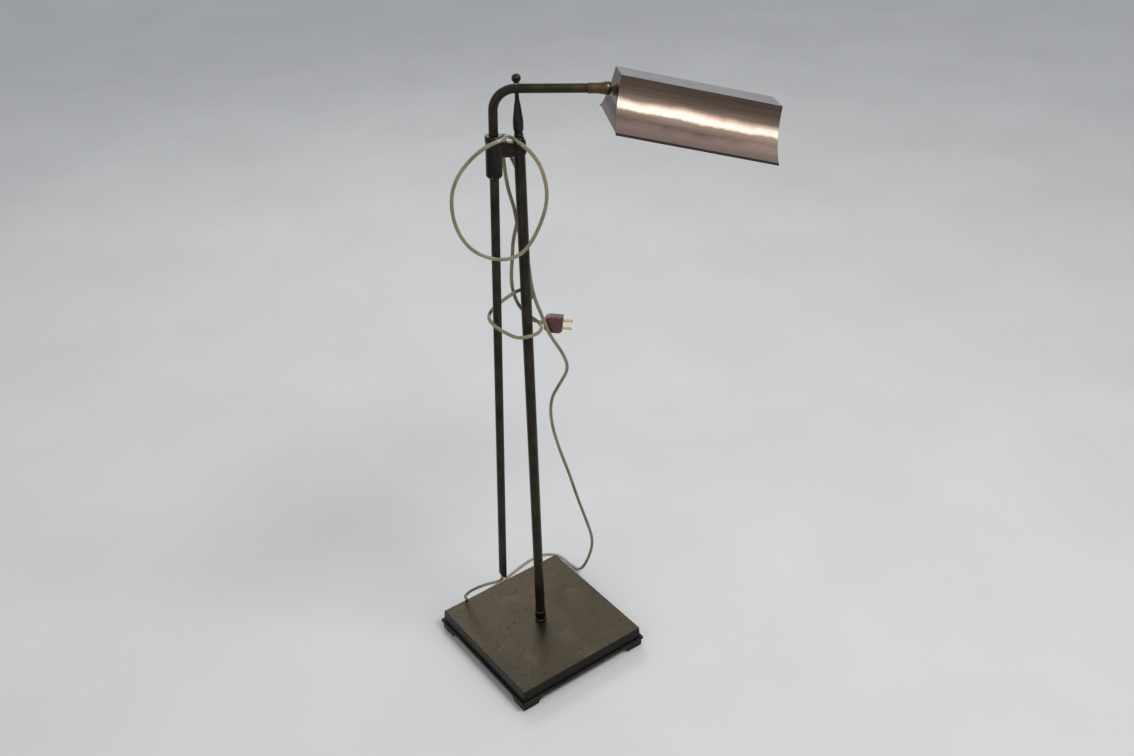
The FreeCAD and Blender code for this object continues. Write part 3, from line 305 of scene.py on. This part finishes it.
def brushed_shade():
    """Satin bronze sheet, brushed along the shade, with painted reflections: dark above, a bright band
    round its waist, paler and pinker where it flares, grey on its flat top; painted shade darkens its
    rim beads and edges."""
    made = Recipe("bronze_shade", metallic=0.9)
    local = made.within(SHADE)
    height = made.part_of(local, "Z")
    brushed = made.noise(120, 4, 0.6, made.stretched((0.06, 5, 5), place=local))
    clouds = made.noise(18, 5, 0.6)
    stains = made.noise(46, 5, 0.65, distortion=0.8)
    # Painted reflections, by height in the shade: a pale pinkish lower flare, a dark band, a bright
    # band round the waist, darker above.
    painted_band_height = made.sum(height, made.spread(clouds, 0.3, 0.7, -0.003, 0.003))
    base = made.blend(made.spread(painted_band_height, -0.031, -0.023), (0.200, 0.142, 0.122), (0.045, 0.032, 0.025))
    base = made.blend(made.spread(painted_band_height, -0.0150, -0.0115), base, (0.270, 0.210, 0.175))
    base = made.blend(made.spread(painted_band_height, -0.0085, 0.000), base, (0.062, 0.044, 0.032))
    # Painted reflection: the flat top of the shade, which faces up, is made lighter grey.
    base = made.blend(made.facing_up(0.90, 0.97), base, (0.200, 0.195, 0.190))
    base = made.blend(made.spread(brushed, 0.35, 0.70, 0, 0.25), base, (0.160, 0.125, 0.105))
    base = made.blend(made.spread(stains, 0.60, 0.76, 0, 0.45), base, (0.045, 0.034, 0.026))
    # Painted shade: the lowest millimetre, the rim beads at the mouth, is turned near-black.
    base = made.blend(made.spread(height, -0.0386, -0.0380, 1, 0), base, (0.016, 0.013, 0.010))
    # Painted shade: the shade's edges and folds are darkened in patches.
    patchy_edges = made.sum(made.edges(0.0012), made.spread(made.noise(80, 3), 0.35, 0.65), "MULTIPLY")
    base = made.blend(patchy_edges, base, (0.040, 0.032, 0.024))
    made.colour(base)
    made.rough(made.spread(made.sum(brushed, clouds), 0.6, 1.4, 0.28, 0.44))
    made.bump(brushed, 0.00005, 0.7)
    made.bump(made.noise(7, 2, 0.4), 0.0005, 0.4)
    return made.material


def plain_metal(name, base, second, roughness):
    made = Recipe(name, metallic=1.0)
    speck = made.noise(300, 4, 0.6)
    made.colour(made.blend(made.spread(speck, 0.35, 0.7), base, second))
    made.rough(made.spread(speck, 0.3, 0.7, roughness - 0.06, roughness + 0.1))
    made.bump(speck, 0.00005)
    return made.material


def cast_iron():
    made = Recipe("cast_iron", metallic=0.3, roughness=0.7)
    grain = made.noise(350, 5, 0.7)
    made.colour(made.blend(made.spread(grain, 0.3, 0.7), (0.020, 0.019, 0.018), (0.055, 0.048, 0.042)))
    made.bump(grain, 0.0004)
    return made.material


def moulded(name, base, second, roughness, swirl=30, coat=0.0):
    """Moulded plastic with the faint flow marks of its resin."""
    made = Recipe(name, roughness=roughness, Coat_Weight=coat, Coat_Roughness=0.15)
    flow = made.noise(swirl, 5, 0.6, distortion=1.6)
    fine = made.noise(600, 2, 0.5)
    made.colour(made.blend(made.spread(flow, 0.35, 0.68), base, second))
    made.rough(made.spread(made.sum(flow, fine), 0.6, 1.4, roughness - 0.07, roughness + 0.1))
    made.bump(fine, 0.00004)
    return made.material


def cord_vinyl():
    """Old clear vinyl gone olive-gold, glossy, with the copper showing faintly."""
    made = Recipe("vinyl_cord", roughness=0.3, Subsurface_Weight=0.12, Subsurface_Scale=0.002,
                  Coat_Weight=0.35, Coat_Roughness=0.2)
    made.shader.inputs["Subsurface Radius"].default_value = (1.0, 0.75, 0.35)
    age = made.noise(36, 5, 0.6)
    strand = made.noise(900, 3, 0.7)
    grime = made.noise(120, 5, 0.7)
    base = made.blend(made.spread(age, 0.34, 0.68), (0.175, 0.160, 0.078), (0.290, 0.262, 0.140))
    base = made.blend(made.spread(strand, 0.5, 0.75, 0, 0.4), base, (0.230, 0.175, 0.075))
    base = made.blend(made.spread(grime, 0.60, 0.78, 0, 0.5), base, (0.095, 0.080, 0.045))
    made.colour(base)
    made.rough(made.spread(age, 0.3, 0.7, 0.24, 0.42))
    made.bump(strand, 0.00005)
    return made.material


def felt():
    made = Recipe("felt", roughness=0.95, Sheen_Weight=0.4, Sheen_Roughness=0.5)
    fibre = made.noise(1400, 4, 0.7)
    made.colour(made.blend(made.spread(fibre, 0.3, 0.7), (0.012, 0.014, 0.011), (0.040, 0.044, 0.036)))
    made.bump(fibre, 0.0004)
    return made.material


MATERIALS = {
    "dark_bronze_plate": base_top_bronze(),
    "dark_bronze_edge": bronze("bronze_edge", (0.009, 0.008, 0.006), (0.022, 0.019, 0.013),
                               (0.10, 0.075, 0.045), 0.34),
    "bronze_tube": bronze("bronze_tube", (0.018, 0.015, 0.010), (0.042, 0.034, 0.022),
                          (0.11, 0.085, 0.055), 0.30, 0.00005),
    "bronze_turned": bronze("bronze_turned", (0.014, 0.012, 0.009), (0.034, 0.028, 0.019),
                            (0.13, 0.10, 0.06), 0.27),
    "olive_brass": bronze("brass_olive", (0.052, 0.040, 0.020), (0.105, 0.080, 0.040),
                          (0.26, 0.20, 0.10), 0.26, metallic=1.0),
    "shade_bronze": brushed_shade(),
    "brass": plain_metal("brass_satin", (0.56, 0.40, 0.16), (0.36, 0.25, 0.10), 0.3),
    "plain_steel": plain_metal("steel_zinc", (0.42, 0.42, 0.43), (0.28, 0.28, 0.29), 0.38),
    "cast_iron": cast_iron(),
    "fibre": moulded("fibre_red_brown", (0.110, 0.038, 0.020), (0.170, 0.070, 0.038), 0.6),
    "phenolic": moulded("phenolic_black", (0.012, 0.011, 0.010), (0.026, 0.022, 0.019), 0.35),
    "brown_bakelite": moulded("bakelite_maroon", (0.062, 0.012, 0.010), (0.125, 0.026, 0.018),
                              0.28, 60, 0.3),
    "gold_cord": cord_vinyl(),
    "felt": felt(),
}

slot_of = {entry["node"]: entry["material_slot"] for entry in frame["record"]["subparts"]}
for name, node in frame["nodes"].items():
    node.data.materials.clear()
    node.data.materials.append(MATERIALS[slot_of[name]])


# ---------------------------------------------------------------------------------------------
# Cord: flat twin lead, swept along one smooth route
# ---------------------------------------------------------------------------------------------

# Points that steer the free cord, in millimetres, from the lower end of the tube to the plug.
CORD_ROUTE = [
    (-62.0, 13.9, 172.0), (-62.5, 14.0, 157.5), (-63.5, 29.0, 140.5), (-69.0, 54.0, 121.0),
    (-75.0, 90.0, 88.0), (-77.0, 118.0, 56.0), (-68.0, 139.5, 26.0), (-52.0, 150.0, 1.6),
    (-15.0, 155.0, 1.6), (22.0, 158.0, 1.6), (57.5, 166.5, 1.6), (81.0, 172.0, 1.6),
    (104.0, 175.5, 1.6), (128.5, 172.5, 1.6), (144.0, 162.0, 1.6), (152.0, 147.0, 1.6),
    (151.5, 118.0, 1.6), (152.0, 87.0, 6.0), (160.0, 70.0, 46.0), (161.0, 57.0, 96.0),
    (142.0, 53.5, 156.5), (122.5, 50.5, 214.5), (102.5, 46.0, 280.5), (82.5, 43.5, 339.0),
    (63.0, 38.0, 406.5), (56.5, 27.5, 459.5), (64.5, 11.5, 494.0), (72.0, -3.0, 526.0),
    (56.5, -8.0, 563.0), (35.5, -6.0, 599.0), (22.0, -6.0, 639.0), (17.0, 3.5, 665.0),
    (13.5, 6.5, 693.0), (11.5, 7.5, 729.0), (5.5, 12.0, 754.5), (1.0, 15.0, 781.5),
    (-1.5, 17.0, 809.0), (-7.5, 20.5, 835.5), (-9.5, 24.0, 863.0), (-11.0, 24.0, 888.0),
    (-18.5, 20.0, 905.0), (-22.0, 10.0, 922.5), (-24.0, -4.0, 928.0), (-30.0, -18.0, 931.5),
    (-42.5, -25.0, 932.5), (-57.0, -23.0, 930.0), (-67.5, -14.0, 922.0), (-76.5, 5.0, 903.5),
    (-91.5, 17.0, 879.0), (-99.5, 24.0, 848.0), (-97.0, 23.5, 807.5), (-83.5, 14.0, 773.5),
    (-63.0, -1.0, 757.0), (-37.5, -15.0, 751.0), (-13.0, -24.0, 760.5), (7.0, -32.0, 795.0),
    (18.5, -38.5, 837.5), (13.5, -34.5, 878.5), (3.0, -26.5, 902.0), (-7.5, -20.0, 914.0),
    (-13.5, -8.0, 922.0), (-14.5, 7.0, 922.0), (-11.5, 19.5, 911.5), (-4.0, 24.5, 894.0),
    (7.0, 20.0, 868.0), (12.0, 18.0, 842.0), (12.0, 20.0, 812.0), (5.0, 22.5, 781.0),
    (-5.0, 20.0, 757.0), (-8.5, 17.5, 736.5), (-12.5, 19.0, 698.0), (-8.0, 18.5, 667.5),
    (4.5, 17.5, 641.5), (17.0, 11.0, 628.5), (21.5, -1.5, 623.5), (16.0, -14.5, 621.5),
    (3.5, -21.0, 620.5), (-11.0, -19.5, 620.0), (-28.5, -15.5, 621.5), (-52.0, -16.5, 641.0),
    (-61.5, -6.0, 650.5), (-61.0, 8.5, 655.0), (-53.0, 18.5, 657.0), (-42.5, 22.0, 662.0),
    (-29.5, 16.5, 671.5), (-12.0, 12.5, 680.5), (4.5, 13.0, 681.0), (18.0, 14.5, 675.5),
    (24.0, 17.5, 662.5), (19.0, 24.5, 645.0), (17.5, 26.0, 627.0), (25.7, 19.7, 614.8),
    (37.7, 10.9, 613.0)]
CORD_WIDTH = 5.2 * MM
LOBE_REACH = 115            # degrees of each lobe to either side of its outer edge
LOBE_POINTS = 7
CORD_NODES = ("cord_floor_run", "cord_big_loop", "cord_small_loop")
UP = Vector((0, 0, 1))
FRONT = Vector((-0.54, -0.74, 0.4)).normalized()
FLOOR_LIMIT = 0.012         # metres; below this the cord lies on the floor
TWIST_PASSES = 12


def spline_points(route):
    """The route's smooth line, as points in metres."""
    data = bpy.data.curves.new("route", "CURVE")
    data.dimensions = "3D"
    data.resolution_u = 10
    spline = data.splines.new("NURBS")
    spline.points.add(len(route) - 1)
    for point, place in zip(spline.points, route):
        point.co = (*(Vector(place) * MM), 1)
    spline.order_u = 3
    spline.use_endpoint_u = True
    carrier = bpy.data.objects.new("route", data)
    bpy.context.scene.collection.objects.link(carrier)
    bpy.context.view_layer.update()
    mesh = bpy.data.meshes.new_from_object(carrier)
    points = [vertex.co.copy() for vertex in mesh.vertices]
    bpy.data.objects.remove(carrier)
    bpy.data.meshes.remove(mesh)
    return points


def twin_profile():
    """Section of the flat twin lead: two round lobes with a groove between them."""
    outline = []
    lobe = CORD_WIDTH / 4
    for side in (1, -1):
        for step in range(LOBE_POINTS):
            angle = math.radians(-LOBE_REACH + 2 * LOBE_REACH * step / (LOBE_POINTS - 1))
            outline.append((side * (lobe + lobe * math.cos(angle)), side * lobe * math.sin(angle)))
    return outline


def turned_faces(points, tangents):
    """Which way the cord's flat side looks: up where it lies on the floor, to the front elsewhere."""
    looks = [UP if place.z < FLOOR_LIMIT else FRONT for place in points]
    for _ in range(TWIST_PASSES):
        around = zip([looks[0]] + looks[:-1], looks, looks[1:] + [looks[-1]], tangents)
        even = [(before + look * 2 + after, tangent) for before, look, after, tangent in around]
        looks = [(look - tangent * look.dot(tangent)).normalized() for look, tangent in even]
    return looks


def sweep(points, outline):
    """Carry the section along the points, with its flat side turned as turned_faces says."""
    befores = [points[0]] + points[:-1]
    afters = points[1:] + [points[-1]]
    tangents = [(after - before).normalized() for before, after in zip(befores, afters)]
    rings = []
    count = len(outline)
    for place, tangent, look in zip(points, tangents, turned_faces(points, tangents)):
        width = look.cross(tangent)
        rings += [place + width * x + look * y for x, y in outline]
    faces = []
    for ring in range(len(points) - 1):
        for corner in range(count):
            after = (corner + 1) % count
            faces.append((ring * count + corner, ring * count + after,
                          (ring + 1) * count + after, (ring + 1) * count + corner))
    faces.append(tuple(range(count - 1, -1, -1)))
    faces.append(tuple((len(points) - 1) * count + corner for corner in range(count)))
    return mesh_from("cord", rings, faces)


def make_cord():
    line = spline_points(CORD_ROUTE)
    mesh = sweep(line, twin_profile())
    cord = new_object("cord", mesh, "stand", MATERIALS["gold_cord"])
    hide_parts(*CORD_NODES)


make_cord()


# ---------------------------------------------------------------------------------------------
# Blisters and drops of lacquer on the top of the base
# ---------------------------------------------------------------------------------------------

BASE_TOP = 0.04
DROP_COUNT = 44
DROP_FIELD = 0.112          # half side of the square that they lie in
DROP_FROM_POST = 0.016
DROP_SPACING = 0.007
DROP_RADIUS = (0.0011, 0.0026)
DROP_HEIGHT_SHARE = (0.16, 0.3)
DROP_WIDTH_SHARE = (0.7, 1.0)
DROP_SUNK = 0.00005


def drop_spots():
    """Random places on the base, clear of the post and of each other."""
    spots = []
    while len(spots) < DROP_COUNT:
        x = random.uniform(-DROP_FIELD, DROP_FIELD)
        y = random.uniform(-DROP_FIELD, DROP_FIELD)
        apart = all(math.hypot(x - a, y - b) > DROP_SPACING for a, b in spots)
        if math.hypot(x, y) > DROP_FROM_POST and apart:
            spots.append((x, y))
    return spots


def make_drops():
    made = bmesh.new()
    for x, y in drop_spots():
        long = random.uniform(*DROP_RADIUS)
        high = long * random.uniform(*DROP_HEIGHT_SHARE)
        turn = random.uniform(0, math.pi)
        wide = long * random.uniform(*DROP_WIDTH_SHARE)
        place = (Matrix.Translation((x, y, BASE_TOP)) @ Matrix.Rotation(turn, 4, "Z")
                 @ Matrix.Diagonal((long, wide, high, 1)))
        bmesh.ops.create_uvsphere(made, u_segments=14, v_segments=8, radius=1, matrix=place)
    low = [vertex for vertex in made.verts if vertex.co.z < BASE_TOP - DROP_SUNK]
    bmesh.ops.delete(made, geom=low, context="VERTS")
    mesh = bpy.data.meshes.new("lacquer_drops")
    made.to_mesh(mesh)
    made.free()
    drops = bronze("bronze_drops", (0.020, 0.017, 0.013), (0.060, 0.050, 0.036),
                   (0.20, 0.16, 0.10), 0.16, wear=0)
    new_object("lacquer_drops", mesh, "stand", drops)


make_drops()


# ---------------------------------------------------------------------------------------------
# Floor, background and light
# ---------------------------------------------------------------------------------------------

FLOOR_HALF = 6.0
BACKGROUND = (0.78, 0.80, 0.84, 1)
SKY_LIGHT = (0.90, 0.94, 1.0, 1)
SKY_STRENGTH = 0.42


def make_floor():
    corners = [(x * FLOOR_HALF, y * FLOOR_HALF, 0) for x, y in ((-1, -1), (1, -1), (1, 1), (-1, 1))]
    mesh = mesh_from("floor", corners, [(0, 1, 2, 3)])
    made = Recipe("floor_pale", roughness=0.85)
    soft = made.noise(3.0, 4, 0.5)
    made.colour(made.blend(made.spread(soft, 0.3, 0.7), (0.74, 0.74, 0.73), (0.79, 0.79, 0.78)))
    floor = new_object("floor", mesh, None, made.material, smooth=False)


def maximum(tree, first, second):
    node = tree.nodes.new("ShaderNodeMath")
    node.operation = "MAXIMUM"
    tree.links.new(first, node.inputs[0])
    tree.links.new(second, node.inputs[1])
    return node.outputs[0]


def background(tree, colour, strength):
    node = tree.nodes.new("ShaderNodeBackground")
    node.inputs["Color"].default_value = colour
    node.inputs["Strength"].default_value = strength
    return node.outputs[0]


def make_world():
    """A pale background for what is seen directly, mirrored or through glass, and a dimmer soft
    light for the rest."""
    world = bpy.data.worlds.new("studio")
    bpy.context.scene.world = world
    world.use_nodes = True
    tree = world.node_tree
    tree.nodes.clear()
    output = tree.nodes.new("ShaderNodeOutputWorld")
    path = tree.nodes.new("ShaderNodeLightPath")
    seen = maximum(tree, path.outputs["Is Camera Ray"], path.outputs["Is Transmission Ray"])
    mirrored = maximum(tree, seen, path.outputs["Is Glossy Ray"])
    mix = tree.nodes.new("ShaderNodeMixShader")
    tree.links.new(mirrored, mix.inputs[0])
    tree.links.new(background(tree, SKY_LIGHT, SKY_STRENGTH), mix.inputs[1])
    tree.links.new(background(tree, BACKGROUND, 1.0), mix.inputs[2])
    tree.links.new(mix.outputs[0], output.inputs["Surface"])


def area_light(name, place, target, width, height, power, colour=(1, 1, 1)):
    data = bpy.data.lights.new(name, "AREA")
    data.shape = "RECTANGLE"
    data.size = width
    data.size_y = height
    data.energy = power
    data.color = colour
    lamp = bpy.data.objects.new(name, data)
    bpy.context.scene.collection.objects.link(lamp)
    lamp.location = place
    lamp.rotation_mode = "QUATERNION"
    lamp.rotation_quaternion = (Vector(target) - Vector(place)).to_track_quat("-Z", "Y")


make_floor()
make_world()
area_light("key", (0.6, -1.6, 2.9), (0, 0, 0.5), 1.4, 0.6, 42, (1.0, 0.98, 0.95))
area_light("fill", (-2.2, -0.6, 1.6), (0, 0, 0.5), 1.8, 1.8, 6, (0.92, 0.96, 1.0))
area_light("back", (0.8, 2.0, 2.2), (0, 0, 0.6), 1.6, 0.8, 14)
